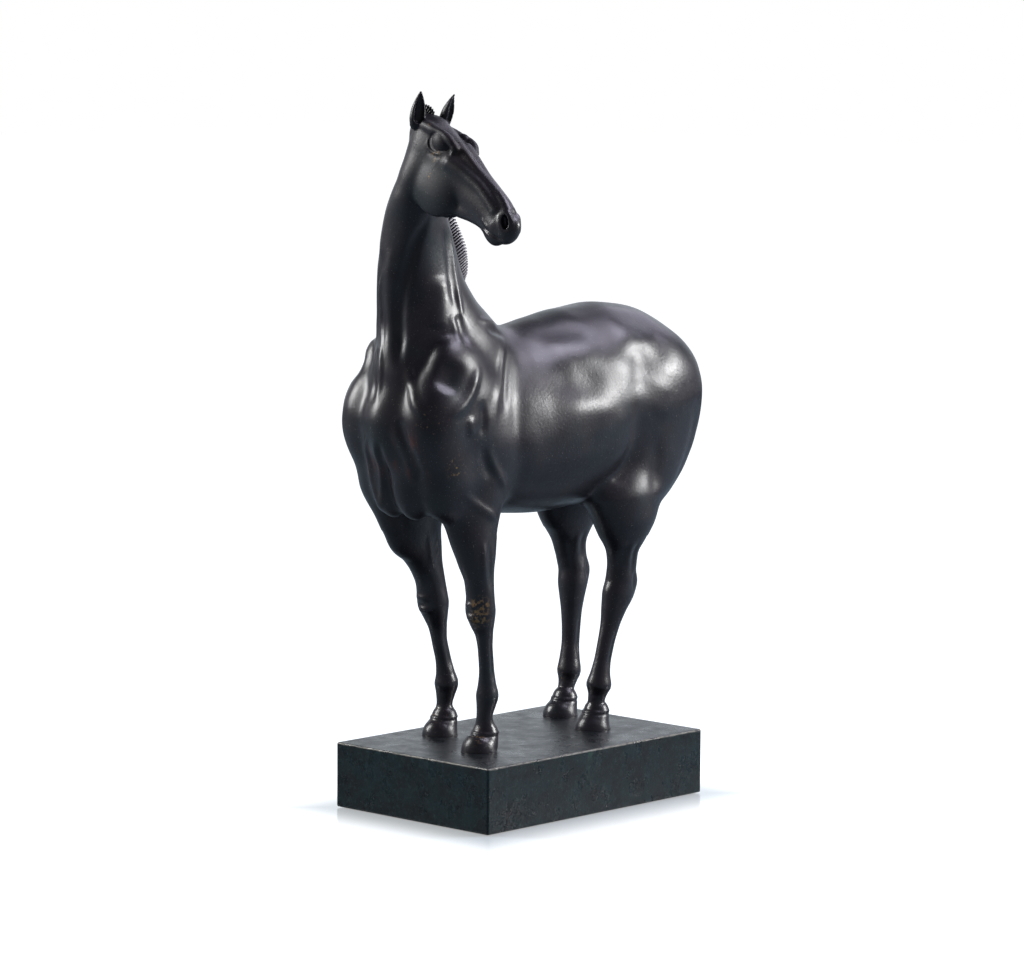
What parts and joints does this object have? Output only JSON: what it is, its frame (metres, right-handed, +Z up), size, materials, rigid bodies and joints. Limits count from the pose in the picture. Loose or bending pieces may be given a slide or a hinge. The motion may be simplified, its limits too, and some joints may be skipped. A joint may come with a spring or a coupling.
{
  "type": "horse statuette",
  "caption": "Dark bronze figure of a standing horse with hogged mane and its head turned to the left, on a rectangular plinth.",
  "frame": {"origin": "centre of the felt's underside, where the plinth rests", "axes": "+X the way the horse's body faces, +Y the horse's left, +Z up"},
  "size_m": [0.2841, 0.1614, 0.4547],
  "materials": {
    "bronze": "near-black patinated bronze, waxed to a soft gloss, rubbed brown-gold on high spots",
    "plinth_bronze": "near-black patinated bronze with mottled blue-green sides and worn top edges",
    "pin_bronze": "plain bronze rod",
    "screw_brass": "plain brass wood screw",
    "fastening_steel": "plain turned steel",
    "board_wood": "plain sanded board",
    "felt": "dense green felt"
  },
  "bodies": {
    "root": {"plinth": "plinth_bronze", "base_board": "board_wood", "felt": "felt", "board_screw_1": "screw_brass", "board_screw_2": "screw_brass", "board_screw_3": "screw_brass", "board_screw_4": "screw_brass", "torso": "bronze", "neck": "bronze", "head": "bronze", "tail": "bronze", "foreleg_left": "bronze", "foreleg_right": "bronze", "hindleg_left": "bronze", "hindleg_right": "bronze", "foreleg_left_stud": "fastening_steel", "foreleg_left_washer": "fastening_steel", "foreleg_left_nut": "fastening_steel", "foreleg_right_stud": "fastening_steel", "foreleg_right_washer": "fastening_steel", "foreleg_right_nut": "fastening_steel", "hindleg_left_stud": "fastening_steel", "hindleg_left_washer": "fastening_steel", "hindleg_left_nut": "fastening_steel", "hindleg_right_stud": "fastening_steel", "hindleg_right_washer": "fastening_steel", "hindleg_right_nut": "fastening_steel", "foreleg_left_pin": "pin_bronze", "foreleg_right_pin": "pin_bronze", "hindleg_left_pin": "pin_bronze", "hindleg_right_pin": "pin_bronze", "neck_pin_1": "pin_bronze", "neck_pin_2": "pin_bronze", "head_pin_1": "pin_bronze", "head_pin_2": "pin_bronze"}
  },
  "joints": []
}
